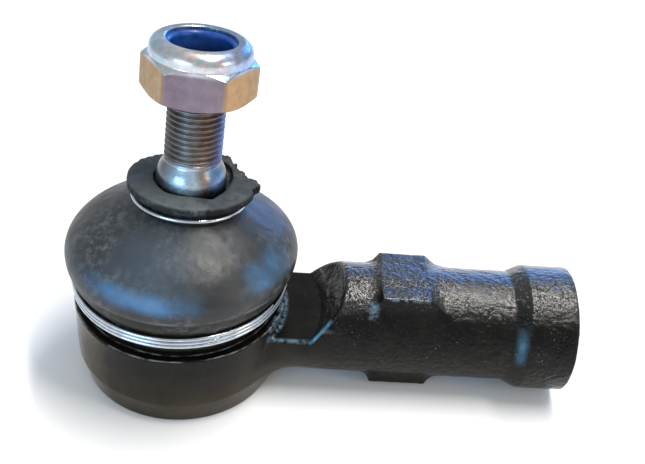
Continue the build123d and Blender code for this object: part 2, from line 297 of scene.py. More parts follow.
def hypot_node(tree, a, b):
    """Length of the line whose two parts these are."""
    squares = [math_node(tree, "POWER", math_node(tree, "ABSOLUTE", part), 2.0) for part in (a, b)]
    return math_node(tree, "POWER", math_node(tree, "ADD", *squares), 0.5)


def axis_part(tree, vector, letter):
    s = tree.nodes.new("ShaderNodeSeparateXYZ")
    tree.links.new(vector, s.inputs["Vector"])
    return s.outputs[letter]


def bump(tree, bsdf, height, distance, normal=None):
    """Bumps of this many millimetres on the surface, over those of another bump where one is given."""
    b = tree.nodes.new("ShaderNodeBump")
    b.inputs["Strength"].default_value = 1.0
    b.inputs["Distance"].default_value = distance * MM
    tree.links.new(height, b.inputs["Height"])
    if normal is not None:
        tree.links.new(normal, b.inputs["Normal"])
    tree.links.new(b.outputs["Normal"], bsdf.inputs["Normal"])
    return b.outputs["Normal"]


def radial_tint(tree, vector, wander, stops):
    """Colours laid round the object's own Z axis: each stop is a bearing in degrees from its X, and a colour.
    The borders wander by this share of a turn."""
    g = tree.nodes.new("ShaderNodeTexGradient")
    g.gradient_type = "RADIAL"
    tree.links.new(vector, g.inputs["Vector"])
    unrest = math_node(tree, "SUBTRACT", add_noise(tree, vector, 2.5, 3), 0.5)
    bearing = math_node(tree, "ADD", g.outputs["Fac"], math_node(tree, "MULTIPLY", unrest, wander))
    return ramp(tree, bearing, [(degrees / 360 + 0.5, colour) for degrees, colour in stops])


def facing_up(tree, low, high):
    """1 where the object's own surface faces up its Z, 0 where it faces sideways."""
    coords = tree.nodes.new("ShaderNodeTexCoord")
    return ramp(tree, axis_part(tree, coords.outputs["Normal"], "Z"), [(low, 0.0), (high, 1.0)])


def facing_down(tree, low, high):
    """The reverse of facing_up: 1 where the surface's own Z part is below these values."""
    return math_node(tree, "SUBTRACT", 1.0, facing_up(tree, low, high))


def along(tree, value, start, span, stops):
    """Colours or greys along a value in mm that runs from start over this span; the stops are in mm too."""
    share = math_node(tree, "DIVIDE", math_node(tree, "SUBTRACT", value, start), span)
    return ramp(tree, share, [((place - start) / span, colour) for place, colour in stops])


def within(tree, value, start, span, low, high, soft):
    """1 where a value in mm lies between low and high, fading to 0 over this many mm outside them."""
    stops = [(low - soft, 0.0), (low, 1.0), (high, 1.0), (high + soft, 0.0)]
    return along(tree, value, start, span, stops)


def band(tree, height, low, high, soft):
    """within, for a height above the foot."""
    return within(tree, height, 0.0, 60.0, low, high, soft)


def patch(tree, *limits):
    """1 where several values in mm lie in their limits: each is a value, its low and high, and a softness."""
    masks = [within(tree, value, -40.0, 120.0, low, high, soft) for value, low, high, soft in limits]
    return times(tree, *masks)


# ---------------------------------------------------------------- materials
def painted_edge_highlights(tree, vec):
    """Two masks of painted highlight on edges: broken along the relief's floor and the flat, whole on the
    relief's wall and by the collar."""
    x, y, z = (axis_part(tree, vec, letter) for letter in "XYZ")
    from_cup = hypot_node(tree, x, y)
    from_shank = hypot_node(tree, math_node(tree, "SUBTRACT", z, SHANK_Z), y)
    rise = math_node(tree, "SUBTRACT", z, RELIEF_FLOOR)
    wall_foot = math_node(tree, "SUBTRACT", from_cup, math_node(tree, "MULTIPLY", rise, RELIEF_SLOPE))
    floor_edge = patch(tree, (z, 13.32, 13.7, 0.08), (y, -10.4, -9.6, 0.15), (x, 17.5, 23.5, 0.8))
    wall_edge = patch(tree, (wall_foot, 25.82, 26.2, 0.12), (z, 13.8, 16.8, 0.8),
                      (from_shank, 9.6, 10.6, 0.10), (y, -11.0, -6.5, 1.0))
    cup_edge = patch(tree, (from_cup, 18.6, 19.7, 0.25), (z, 13.4, 15.8, 0.2), (x, 16.6, 20.5, 0.8))
    flat_edge = patch(tree, (z, 21.80, 22.2, 0.08), (y, -6.95, -6.50, 0.10), (x, 37.0, 44.0, 0.8))
    flat_end = patch(tree, (x, 34.2, 35.3, 0.3), (y, -7.6, -5.9, 0.3), (z, 18.2, 20.2, 0.5))
    collar_foot = patch(tree, (x, 61.6, 62.3, 0.6), (y, -12.0, -7.0, 1.0), (z, 13.6, 16.2, 2.4))
    broken = lightest(tree, floor_edge, times(tree, cup_edge, 0.7), flat_edge, flat_end)
    broken = times(tree, broken, mottled(tree, vec, 1.1, 4, (0.42, 0.0), (0.62, 0.9), rough=0.6))
    whole = lightest(tree, wall_edge, times(tree, collar_foot, 0.42))
    return broken, times(tree, whole, mottled(tree, vec, 1.6, 3, (0.30, 0.5), (0.60, 1.0)))


def black_paint():
    """Glossy black paint over a forging: rough on the shank, smoother round the cup, with a painted brown
    reflection near the foot.
    """
    mat, tree, bsdf, vec = nodes_of("black_paint")
    x = axis_part(tree, vec, "X")
    height = axis_part(tree, vec, "Z")
    on_shank = along(tree, x, 0.0, 72.0, [(21.6, 0.0), (30.24, 1.0)])
    base = mottled(tree, vec, 3.0, 4, (0.35, (0.0030, 0.0028, 0.0024)), (0.75, (0.008, 0.0074, 0.006)))

    # painted warm brown reflection near the foot, and on the side away from the shank
    bottom = along(tree, height, 0.0, 24.0, [(0.0, 1.0), (5.0, 0.85), (13.0, 0.0)])
    painted_brown_reflection = mottled(tree, vec, 7.0, 4, (0.3, (0.020, 0.014, 0.007)), (0.7, (0.040, 0.030, 0.016)), rough=0.6)
    base = mix(tree, mix(tree, on_shank, bottom, times(tree, bottom, 0.3)), base, painted_brown_reflection)
    side = radial_tint(tree, vec, 0.05, [
        (-180, 1.0), (-160, 1.0), (-125, 0.0), (120, 0.0), (165, 1.0), (180, 1.0)])
    below_step = along(tree, height, 0.0, 24.0, [(STEP_TOP - 0.9, 1.0), (STEP_TOP + 0.1, 0.0)])
    base = mix(tree, times(tree, side, below_step), base, (0.13, 0.092, 0.052))

    # painted highlight on the cup's top corner, pale dust on the shank, and painted highlights on the edges
    corner = times(tree, facing_up(tree, 0.30, 0.55), facing_down(tree, 0.80, 0.97))
    painted_corner_highlight = times(tree, band(tree, height, STEP_TOP - 0.5, STEP_TOP, 0.10), corner,
                   mottled(tree, vec, 2.2, 4, (0.42, 0.0), (0.62, 0.9)), mix(tree, on_shank, 1.0, 0.0))
    base = mix(tree, painted_corner_highlight, base, (0.22, 0.22, 0.23))
    specks = mottled(tree, vec, 0.35, 2, (0.66, 0.0), (0.74, 1.0))
    patches = mottled(tree, vec, 5.0, 2, (0.48, 0.0), (0.64, 1.0))
    dusty = times(tree, specks, patches, mix(tree, on_shank, 0.1, 1.0))
    # painted highlights on the edges: pale grey-blue where broken, cyan where whole
    broken, whole = painted_edge_highlights(tree, vec)
    base = mix(tree, broken, base, (0.16, 0.25, 0.32))
    base = mix(tree, whole, base, (0.09, 0.28, 0.44))
    feed(tree, bsdf.inputs["Base Color"], mix(tree, dusty, base, (0.20, 0.19, 0.18)))

    # the gloss is stronger on top of the shank
    feed(tree, bsdf.inputs["Roughness"], mottled(tree, vec, 2.2, 4, (0.3, 0.12), (0.72, 0.24)))
    past_relief = along(tree, x, 0.0, 72.0, [(25.92, 0.0), (29.52, 1.0)])
    shiny = times(tree, facing_up(tree, 0.66, 0.88), past_relief)
    feed(tree, bsdf.inputs["Specular IOR Level"], mix(tree, shiny, 0.08, 0.45))
    feed(tree, bsdf.inputs["Coat Weight"], mix(tree, shiny, 0.14, 0.55))
    bsdf.inputs["Coat Roughness"].default_value = 0.09

    rough_skin = mix(tree, on_shank, 0.10, 1.0)
    fine = times(tree, add_noise(tree, vec, 0.8, 3, 0.6), rough_skin)
    broad = times(tree, add_noise(tree, vec, 2.0, 2, 0.5), rough_skin)
    skin = bump(tree, bsdf, fine, 0.28, bump(tree, bsdf, broad, 0.24))
    tree.links.new(skin, bsdf.inputs["Coat Normal"])
    return mat


def rubber():
    """Black rubber with dust on the dome, painted blue reflections low on it and in front, a pale mould line
    above the foot, and painted shade on the lip away from the front.
    """
    mat, tree, bsdf, vec = nodes_of("boot_rubber")
    height = axis_part(tree, vec, "Z")
    base = mottled(tree, vec, 6.0, 4, (0.3, (0.013, 0.015, 0.016)), (0.75, (0.024, 0.027, 0.028)))

    # painted blue reflections, in front and to the right of the stud, low and more faintly higher up in front
    front = radial_tint(tree, vec, 0.04, [
        (-180, 0.0), (-142, 0.05), (-122, 0.75), (-98, 1.0), (-84, 0.6), (-70, 0.0), (180, 0.0)])
    right = radial_tint(tree, vec, 0.05, [
        (-180, 0.0), (-54, 0.0), (-38, 0.65), (-26, 0.5), (-10, 0.0), (180, 0.0)])
    cloudy = mottled(tree, vec, 4.0, 3, (0.30, 0.35), (0.60, 1.0))
    low_front = times(tree, front, band(tree, height, 27.8, 28.7, 1.5))
    low_right = times(tree, right, band(tree, height, 28.6, 30.6, 1.6))
    high_front = times(tree, front, band(tree, height, 29.0, 34.0, 2.0))
    base = mix(tree, high_front, base, (0.036, 0.055, 0.076))
    base = mix(tree, times(tree, lightest(tree, low_front, low_right), cloudy), base, (0.045, 0.17, 0.36))

    # the foot and the mould line above it
    below = along(tree, height, 0.0, 60.0, [(MOULD_LINE - 0.6, 1.0), (MOULD_LINE + 0.4, 0.0)])
    base = mix(tree, below, base, (0.012, 0.010, 0.007))
    line = times(tree, band(tree, height, MOULD_LINE - 0.05, MOULD_LINE + 0.05, 0.16),
                 mottled(tree, vec, 3.0, 3, (0.40, 0.15), (0.60, 0.9)))
    base = mix(tree, line, base, (0.15, 0.16, 0.16))

    # the lip, greyer on top and with painted shade away from the front, and dust in patches
    scuff = mottled(tree, vec, 1.3, 6, (0.46, 0.0), (0.78, 1.0), rough=0.7)
    where = mottled(tree, vec, 8.0, 2, (0.42, 0.0), (0.62, 1.0))
    dust = times(tree, scuff, where)
    lip = along(tree, height, 0.0, 50.0, [(LIP_FOOT, 0.0), (LIP_FOOT + 0.7, 1.0)])
    lip_top = times(tree, lip, facing_up(tree, 0.2, 0.8))
    grey = mottled(tree, vec, 2.0, 4, (0.3, (0.085, 0.098, 0.100)), (0.7, (0.130, 0.148, 0.156)))
    base = mix(tree, lip_top, base, grey)
    lip_painted_shade = radial_tint(tree, vec, 0.03, [
        (-180, 0.75), (-140, 0.8), (-110, 1.0), (-66, 1.0), (-45, 0.5), (60, 0.35), (130, 0.6), (180, 0.75)])
    base = mix(tree, lip, base, times(tree, base, lip_painted_shade))
    feed(tree, bsdf.inputs["Base Color"], mix(tree, dust, base, (0.12, 0.135, 0.15)))

    rough = mottled(tree, vec, 3.0, 4, (0.3, 0.36), (0.7, 0.48))
    feed(tree, bsdf.inputs["Roughness"], mix(tree, lightest(tree, dust, lip), rough, 0.72))
    feed(tree, bsdf.inputs["Specular IOR Level"], mix(tree, lightest(tree, below, lip), 0.45, 0.16))
    fine = bump(tree, bsdf, add_noise(tree, vec, 0.35, 3, 0.6), 0.03)
    bump(tree, bsdf, add_noise(tree, vec, 5.0, 2), 0.35, fine)
    return mat


def wire_steel():
    mat, tree, bsdf, vec = nodes_of("ring_wire")
    steel = mottled(tree, vec, 1.4, 3, (0.3, (0.42, 0.48, 0.54)), (0.7, (0.60, 0.65, 0.70)))
    feed(tree, bsdf.inputs["Base Color"], steel)
    feed(tree, bsdf.inputs["Roughness"], mottled(tree, vec, 2.8, 2, (0.3, 0.16), (0.7, 0.26)))
    bsdf.inputs["Metallic"].default_value = 1.0
    return mat


def zinc():
    """Bright passivated zinc, with painted reflections laid round it by bearing: silvery where it was rolled
    and chamfered, brightest at the front, and tinted flat by flat.
    """
    mat, tree, bsdf, vec = nodes_of("nut_zinc")
    # painted reflections: a colour for each flat, set by its bearing
    painted_flat_reflections = radial_tint(tree, vec, 0.004, [
        (-180, (0.33, 0.22, 0.10)), (-123, (0.34, 0.22, 0.10)), (-119, (0.22, 0.17, 0.215)),
        (-92, (0.245, 0.20, 0.245)), (-63, (0.255, 0.20, 0.235)), (-59, (0.42, 0.26, 0.12)),
        (-20, (0.38, 0.24, 0.12)), (60, (0.26, 0.26, 0.24)), (120, (0.24, 0.22, 0.28)),
        (180, (0.33, 0.22, 0.10))])
    drift = mottled(tree, vec, 5.0, 3, (0.30, (0.50, 0.58, 0.66)), (0.44, (0.62, 0.66, 0.70)),
                    (0.54, (0.60, 0.52, 0.50)), (0.62, (0.46, 0.60, 0.60)), (0.76, (0.58, 0.54, 0.68)),
                    distort=1.2)
    # painted reflections round the rolled and chamfered crown, brightest at the front
    crown = radial_tint(tree, vec, 0.04, [
        (-180, (0.75, 0.95, 1.2)), (-140, (0.95, 1.08, 1.22)), (-110, (1.2, 1.2, 1.2)),
        (-75, (1.2, 1.2, 1.22)), (-55, (0.75, 0.85, 1.05)), (-25, (0.50, 0.68, 1.0)),
        (60, (0.6, 0.75, 0.95)), (180, (0.62, 0.80, 1.0))])
    above = along(tree, axis_part(tree, vec, "Z"), 0.0, 60.0, [(HEX_TOP - 0.7, 0.0), (HEX_TOP - 0.1, 1.0)])
    rounded = lightest(tree, facing_up(tree, 0.12, 0.35), above)
    tint = mix(tree, rounded, painted_flat_reflections, times(tree, drift, crown))
    stain = mottled(tree, vec, 2.0, 5, (0.30, (0.78, 0.76, 0.76)), (0.62, 1.0), rough=0.6)
    feed(tree, bsdf.inputs["Base Color"], times(tree, tint, stain))
    feed(tree, bsdf.inputs["Roughness"], mottled(tree, vec, 1.3, 4, (0.3, 0.22), (0.7, 0.38)))
    bsdf.inputs["Metallic"].default_value = 1.0
    bump(tree, bsdf, add_noise(tree, vec, 0.8, 4, 0.6), 0.03)
    return mat


def stud_steel():
    """Turned steel with painted reflections laid round it by bearing; the thread is darker than the polished
    shoulder.
    """
    mat, tree, bsdf, vec = nodes_of("stud_steel")
    height = axis_part(tree, vec, "Z")
    in_thread = along(tree, height, 0.0, 60.0, [(THREAD_START, 0.0), (THREAD_START + 0.8, 1.0)])
    # painted reflections set by bearing, first on the shoulder and then on the thread
    painted_shoulder_reflections = radial_tint(tree, vec, 0.06, [
        (-180, 0.20), (-145, (0.22, 0.24, 0.26)), (-118, (0.34, 0.50, 0.64)), (-98, (0.50, 0.64, 0.76)),
        (-80, (0.52, 0.66, 0.78)), (-70, (0.30, 0.30, 0.32)), (-63, (0.26, 0.20, 0.17)),
        (-55, (0.13, 0.19, 0.32)), (-40, (0.18, 0.30, 0.52)), (-24, (0.16, 0.30, 0.50)),
        (-8, (0.14, 0.12, 0.12)), (60, (0.20, 0.20, 0.22)), (180, 0.20)])
    painted_thread_reflections = radial_tint(tree, vec, 0.05, [
        (-180, (0.12, 0.115, 0.11)), (-130, (0.14, 0.14, 0.145)), (-105, (0.21, 0.215, 0.22)),
        (-85, (0.23, 0.22, 0.21)), (-68, (0.21, 0.165, 0.14)), (-50, (0.15, 0.13, 0.13)),
        (-32, (0.13, 0.13, 0.20)), (-5, (0.12, 0.115, 0.12)), (180, (0.12, 0.115, 0.11))])
    polished = times(tree, painted_shoulder_reflections, mottled(tree, vec, 1.6, 4, (0.3, 0.8), (0.65, 1.0)))
    thread_with_reflections = times(tree, painted_thread_reflections, mottled(tree, vec, 1.2, 4, (0.3, 0.95), (0.65, 1.4)))
    feed(tree, bsdf.inputs["Base Color"], mix(tree, in_thread, polished, thread_with_reflections))
    bsdf.inputs["Metallic"].default_value = 1.0
    wear = add_noise(tree, vec, 1.0, 4)
    smoother = ramp(tree, wear, [(0.3, 0.24), (0.7, 0.36)])
    rougher = ramp(tree, wear, [(0.3, 0.28), (0.7, 0.46)])
    feed(tree, bsdf.inputs["Roughness"], mix(tree, in_thread, smoother, rougher))
    bump(tree, bsdf, add_noise(tree, vec, 0.6, 3), 0.02)
    return mat


def nylon():
    mat, tree, bsdf, vec = nodes_of("insert_nylon")
    blue = mottled(tree, vec, 2.0, 3, (0.3, (0.003, 0.036, 0.20)), (0.7, (0.010, 0.075, 0.32)))
    feed(tree, bsdf.inputs["Base Color"], blue)
    feed(tree, bsdf.inputs["Roughness"], mottled(tree, vec, 1.0, 3, (0.3, 0.25), (0.7, 0.42)))
    bsdf.inputs["Specular IOR Level"].default_value = 0.35
    return mat


def simple(name, dark, light, size, metallic, rough):
    """A plain metal or plastic that varies between two colours and between two roughnesses."""
    mat, tree, bsdf, vec = nodes_of(name)
    smooth, coarse = rough
    feed(tree, bsdf.inputs["Base Color"], mottled(tree, vec, size, 4, (0.3, dark), (0.7, light)))
    feed(tree, bsdf.inputs["Roughness"], mottled(tree, vec, size / 2, 3, (0.3, smooth), (0.7, coarse)))
    bsdf.inputs["Metallic"].default_value = metallic
    bump(tree, bsdf, add_noise(tree, vec, size / 5, 3), 0.02)
    return mat


MAT = {
    "black_paint": black_paint(),
    "boot_rubber": rubber(),
    "ring_wire": wire_steel(),
    "nut_zinc": zinc(),
    "stud_steel": stud_steel(),
    "insert_nylon": nylon(),
    "plate_steel": simple("plate_steel", (0.10, 0.10, 0.10), (0.22, 0.22, 0.23), 3.0, 1.0, (0.35, 0.55)),
    "spring_steel": simple("spring_steel", (0.20, 0.19, 0.18), (0.34, 0.33, 0.31), 3.0, 1.0, (0.3, 0.45)),
    "seat_plastic": simple("seat_plastic", (0.72, 0.70, 0.62), (0.84, 0.83, 0.77), 4.0, 0.0, (0.35, 0.5)),
}


def dress(obj, slot):
    obj.data.materials.clear()
    obj.data.materials.append(MAT[slot])


# ---------------------------------------------------------------- housing: one forging, as a distance field
# outlines as radius and height about the cup's axis, or as place along the shank and distance from its axis
ROUND = 0.35  # CUP lies this far inside the skin, which rounds its corners
CUP = [(-1, ROUND), (17.4, ROUND), (18.6, 5.2), (18.75, STEP_TOP - ROUND), (17.25, STEP_TOP - ROUND),
       (17.25, 18.55), (15.85, 18.55), (15.85, 22.0), (16.65, 22.4), (16.65, 22.85), (-1, 22.85)]
CAVITY = [(-1, -1), (11.9, -1), (11.2, 0.5), (11.2, 0.9), (12.33, 0.9), (12.33, 2.63), (11.45, 2.63),
          (11.45, 20.0), (8.6, 20.0), (8.6, 21.2), (11.4, 24), (-1, 24)]
RELIEF = [(-1, RELIEF_FLOOR), (25.8, RELIEF_FLOOR), (29.4, 19.2), (29.6, 30), (-1, 30)]
SHANK = [(8, -1), (8, 10.0), (35, 10.25), (60.6, 10.25), (63.4, 11.6), (71.7, 11.6), (SHANK_END, 11.3),
         (SHANK_END, -1)]
BORE = [(29.3, -1), (29.3, 0.01), (BORE_END, BORE_MINOR), (BORE_END, BORE_MAJOR), (71.2, BORE_MAJOR),
        (73, BORE_MAJOR + 1.8), (73, -1)]
PAD_TOP = [(34.2, 7.2), (36.2, 10.5), (44.8, 10.5), (48.6, 7.2)]
PAD_UNDER = [(34.6, -7.2), (36.0, -10.5), (46.6, -10.5), (48.2, -7.2)]
PAD_CORE = [(44, 0), (38, 0)]
PAD_HALF_WIDTH = 6.8
FIELD_LOW = np.array([-20.5, -20.5, -1.2])
FIELD_HIGH = np.array([73.2, 20.5, 24.6])
SLAB = 40  # layers of the field worked out at a time


def housing_distance(x, y, z):
    """Signed distance to the forging in mm, negative inside. The last value of smin and smax is the width of
    a fillet."""
    r = np.hypot(x, y)
    h = z - SHANK_Z
    rho = np.hypot(y, h)
    cup = poly_distance(CUP, r, z) - ROUND
    top_pad = poly_distance(PAD_TOP + PAD_CORE, x, h)
    under_pad = poly_distance(PAD_CORE[::-1] + PAD_UNDER[::-1], x, h)
    pads = smax(np.minimum(top_pad, under_pad), np.abs(y) - PAD_HALF_WIDTH, 0.7)
    shank = smin(poly_distance(SHANK, x, rho), pads, 1.1)
    shank = smax(shank, -poly_distance(RELIEF, r, z), 0.8)
    low = smooth_step(13.5, 8.0, z)
    body = smin(cup, shank, 0.7 + 3.6 * low)
    body = np.maximum(body, -z)
    body = smax(body, -poly_distance(CAVITY, r, z), 0.15)
    return smax(body, -poly_distance(BORE, x, rho), 0.15)


def housing_mesh(step):
    """Points, outward directions and quads of the forging's skin, with quads about this many mm across."""
    count = np.ceil((FIELD_HIGH - FIELD_LOW) / step).astype(int)
    field = np.empty(tuple(count), np.float32)
    ys = FIELD_LOW[1] + np.arange(count[1]) * step
    zs = FIELD_LOW[2] + np.arange(count[2]) * step
    for start in range(0, count[0], SLAB):
        xs = FIELD_LOW[0] + np.arange(start, min(start + SLAB, count[0])) * step
        x, y, z = np.meshgrid(xs, ys, zs, indexing="ij")
        field[start:start + len(xs)] = housing_distance(x, y, z)
    field = np.clip(field, -3 * step, 3 * step)
    vdb = openvdb.FloatGrid(3 * step)
    vdb.copyFromArray(field)
    points, quads = vdb.convertToQuads(0.0)
    p = FIELD_LOW + np.asarray(points, float) * step
    nudge = 0.05
    for _ in range(3):  # moves the points onto the true surface
        f = housing_distance(*p.T)
        g = np.stack([housing_distance(*(p + d).T) - f for d in np.eye(3) * nudge], -1) / nudge
        p = p - g * (f / np.maximum((g * g).sum(1), 0.2))[:, None]
    return p, g, np.asarray(quads)


def lumps(points, frequency, offset):
    """Smooth noise at each point; the offset tells one use from another."""
    return np.array([noise.noise(Vector(q) * frequency + Vector(offset)) for q in points])


def forged(points, normals):
    """Pushes the skin in and out a little, as a forging's scale and paint do. Bores stay true."""
    n = normals / np.maximum(np.linalg.norm(normals, axis=1), 1e-6)[:, None]
    x, y, z = points.T
    true_faces = (np.hypot(x, y) < 15.5) & (z < 23.5)  # inside the cup
    true_faces |= (np.hypot(y, z - SHANK_Z) < 8.9) & (x > 28)  # the shank's bore
    true_faces |= (x < 19.3) & (z > 15.7)  # the steps under the boot
    amount = np.where(true_faces, 0.0, smooth_step(0.1, 1.2, z))
    slow = lumps(points, 0.16, (0, 0, 0)) * 0.07
    fast = lumps(points, 0.62, (9, 2, 5)) * 0.05 + lumps(points, 1.5, (3, 8, 1)) * 0.03
    fast *= 0.12 + 0.88 * smooth_step(20, 30, x)
    return points + n * ((slow + fast) * amount)[:, None]


points, normals, quads = housing_mesh(0.27)
points = forged(points, normals)
housing = make_object("forged_housing", points * MM, quads[:, ::-1])
dress(housing, "black_paint")
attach(housing, "housing")
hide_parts("housing")


def shank_thread():
    """The shank's thread, as the surface inside its bore."""
    cols = 96
    place = all_round(np.linspace(BORE_END - 0.2, SHANK_END - 0.35, 700), cols)
    turn = np.arange(cols) / cols
    thread = BORE_MINOR + SHANK_THREAD_DEPTH * thread_vee(place / SHANK_PITCH - turn, 2.6, 0.25)
    mouth = BORE_MINOR + np.clip(place - (SHANK_END - 1.2), 0, 3)
    along_x = Matrix(((0, 0, 1, 0), (0, 1, 0, 0), (-1, 0, 0, SHANK_Z * MM), (0, 0, 0, 1)))
    return lathe("shank_thread", np.maximum(thread, mouth), place, along_x, closed=False)


bore = shank_thread()
bore.data.flip_normals()
dress(bore, "plate_steel")
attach(bore, "housing")

# ---------------------------------------------------------------- stud with its helical thread
# outlines as radius and distance from the ball centre along the stud
BALL_FLAT = 3.2  # radius of the flat under the ball
NECK = [(4.7, 8.3), (4.7, 12.0), (6.5, 16.5)]
TAPER = [(6.5, 16.5), (6.15, 23.4)]
SHOULDER = [(6.15, 23.4), (6.08, 24.8), (6.02, 25.7), (5.88, 26.5), (5.58, 27.3), (5.2, 28.0), (4.95, 28.5),
            (MAJOR, 28.8)]


def stud_mesh():
    """The stud's skin, from under the ball up to the thread's tip."""
    cols = 160
    turn = np.arange(cols) / cols
    arc = np.linspace(-math.acos(BALL_FLAT / BALL_RADIUS), math.acos(NECK[0][0] / BALL_RADIUS), 40)
    ball = BALL_RADIUS * np.stack([np.cos(arc), np.sin(arc)], -1)
    plain = np.vstack([[(0.0, ball[0, 1])], ball, resample(NECK, 0.5)[1:], resample(TAPER, 0.5)[1:],
                       spline(SHOULDER, 0.12)[1:]])
    s = all_round(np.arange(28.85, TIP + 0.01, PITCH / 20), cols)
    vee = thread_vee(s / PITCH - turn, 2.6, 0.14)
    depth = (MAJOR - MINOR) * smooth_step(THREAD_START, THREAD_START + 1.3, s)
    thread = np.minimum(MAJOR - depth * (1 - vee), MAJOR - (s - (TIP - TIP_CHAMFER)))
    radius = np.vstack([all_round(plain[:, 0], cols), thread, all_round(0.0, cols)])
    height = np.vstack([all_round(plain[:, 1], cols), s, all_round(TIP, cols)])
    return lathe("stud", radius, height, stud_matrix(), closed=False)


stud = stud_mesh()
stud.data.set_sharp_from_angle(angle=math.radians(50))
dress(stud, "stud_steel")
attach(stud, "stud")
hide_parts("ball_stud")

# ---------------------------------------------------------------- lock nut
FLAT = 8.5
HEX_CORNER = 9.72
CROWN = 8.45
CROWN_ROLL = 1.9  # how far the crown is rolled in over the nylon ring
CROWN_FOOT = HEX_TOP + 1.0
FOOT_FACE = 7.7  # radius of the nut's flat foot
NUT_MOUTH = 5.75  # radius of the countersink in it
FOOT_CHAMFER, TOP_CHAMFER = 0.48, 0.62  # rise of each chamfer for a millimetre outwards
NUT_BORE = 4.99
NUT_THREAD_DEPTH = 0.45
NUT_INSIDE = [(6.1, NUT_TOP), (5.85, 49.72), (5.8, 49.4), (5.82, 49.24), (6.73, 49.24), (6.73, 45.87),
              (5.0, 45.87)]


def nut_mesh():
    """The nut's skin: up its faces, over the rolled crown, and down the nylon's pocket and the thread."""
    cols = 720
    turn = np.arange(cols) / cols
    sixth = (turn + 1 / 360) * 6 % 1.0
    hexagon = smin(FLAT / np.cos((sixth - 0.5) * TAU / 6), HEX_CORNER, 0.25)
    sides = np.linspace(BOTTOM, HEX_TOP, 110)
    s = all_round(np.concatenate([sides, np.linspace(HEX_TOP, CROWN_FOOT, 12)[1:]]), cols)
    low_cone = FOOT_FACE + (s - BOTTOM) / FOOT_CHAMFER
    top_cone = CROWN + (HEX_TOP + 0.02 - s) / TOP_CHAMFER
    wall = smin(smin(hexagon, low_cone, 0.22), top_cone, 0.22)
    wall = smax(wall, CROWN, 0.25)
    wall = np.where(s < BOTTOM + 1.5, np.minimum(wall, low_cone), wall)
    arc = np.linspace(0, math.pi / 2, 22)[1:]
    crown_r = all_round(CROWN - CROWN_ROLL * (1 - np.cos(arc)), cols)
    crown_s = all_round(CROWN_FOOT + (NUT_TOP - CROWN_FOOT) * np.sin(arc), cols)
    inside = resample(NUT_INSIDE, 0.25)
    bore_s = all_round(np.arange(45.8, BOTTOM + 0.05, -PITCH / 14), cols)
    thread = NUT_BORE + NUT_THREAD_DEPTH * thread_vee(bore_s / PITCH - turn + 0.5, 2.5, 0.2)
    thread = np.maximum(thread, NUT_MOUTH - (bore_s - BOTTOM))
    foot = all_round(np.linspace(NUT_MOUTH, FOOT_FACE, 6)[1:-1], cols)
    radius = np.vstack([wall, crown_r, all_round(inside[:, 0], cols), thread, foot])
    height = np.vstack([s, crown_s, all_round(inside[:, 1], cols), bore_s, np.full(foot.shape, BOTTOM)])
    return lathe("lock_nut", radius, height, stud_matrix())


nut = nut_mesh()
nut.data.set_sharp_from_angle(angle=math.radians(40))
dress(nut, "nut_zinc")
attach(nut, "nut")
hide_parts("nut_body")

NYLON_OUTER = [(6.7, 45.9), (6.7, 49.2), (5.6, 49.2)]
NYLON_INNER = [(5.35, 49.12), (5.15, 48.95), (5.02, 48.7), (NUT_BORE, 48.3), (NUT_BORE, 46.2), (5.05, 46.0),
               (5.2, 45.9)]
ring = np.vstack([resample(NYLON_OUTER, 0.3), NYLON_INNER])
insert = lathe("nylon_ring", all_round(ring[:, 0], 128), all_round(ring[:, 1], 128), stud_matrix())
insert.data.set_sharp_from_angle(angle=math.radians(50))
dress(insert, "insert_nylon")
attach(insert, "nut_insert")
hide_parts("nut_insert")

# ---------------------------------------------------------------- boot
# radius, distance from the ball centre, share of the lean, and how far the ring is pushed towards the shank
OUTSIDE = [
    (18.3, 4.95, 0.0, 0.0), (18.62, 5.2, 0.0, 0.0), (18.6, 6.3, 0.0, 0.0), (18.62, 7.4, 0.0, 0.0),
    (18.85, 7.9, 0.0, 0.0), (19.25, 8.5, 0.03, 0.0), (19.8, 9.5, 0.08, 0.0), (20.3, 11.0, 0.2, 0.0),
    (20.35, 12.5, 0.34, 0.05), (19.8, 14.0, 0.5, 0.2), (18.4, 15.7, 0.7, 0.42), (16.3, 17.3, 0.85, 0.62),
    (13.7, 18.7, 0.95, 0.65), (11.4, 19.8, 1.0, 0.4), (9.9, 20.6, 1.0, 0.1), (9.3, 21.0, 1.0, 0.0),
    (9.24, 21.5, 1.0, 0.0), (9.24, 22.5, 1.0, 0.0), (9.5, 22.85, 1.0, 0.0)]
INSIDE = [
    (6.47, 21.5, 1.0, 0.0), (6.47, 20.0, 1.0, 0.0), (6.6, 18.9, 1.0, 0.0), (7.3, 18.7, 1.0, 0.0),
    (9.2, 18.4, 1.0, 0.2), (11.6, 17.5, 0.95, 0.5), (14.2, 16.2, 0.85, 0.5), (16.4, 14.7, 0.66, 0.35),
    (18.0, 13.0, 0.44, 0.1), (18.3, 11.4, 0.25, 0.0), (17.9, 9.6, 0.1, 0.0), (17.3, 8.2, 0.02, 0.0),
    (16.6, 7.3, 0.0, 0.0), (16.26, 6.8, 0.0, 0.0), (16.26, 5.6, 0.0, 0.0), (16.4, 4.95, 0.0, 0.0)]
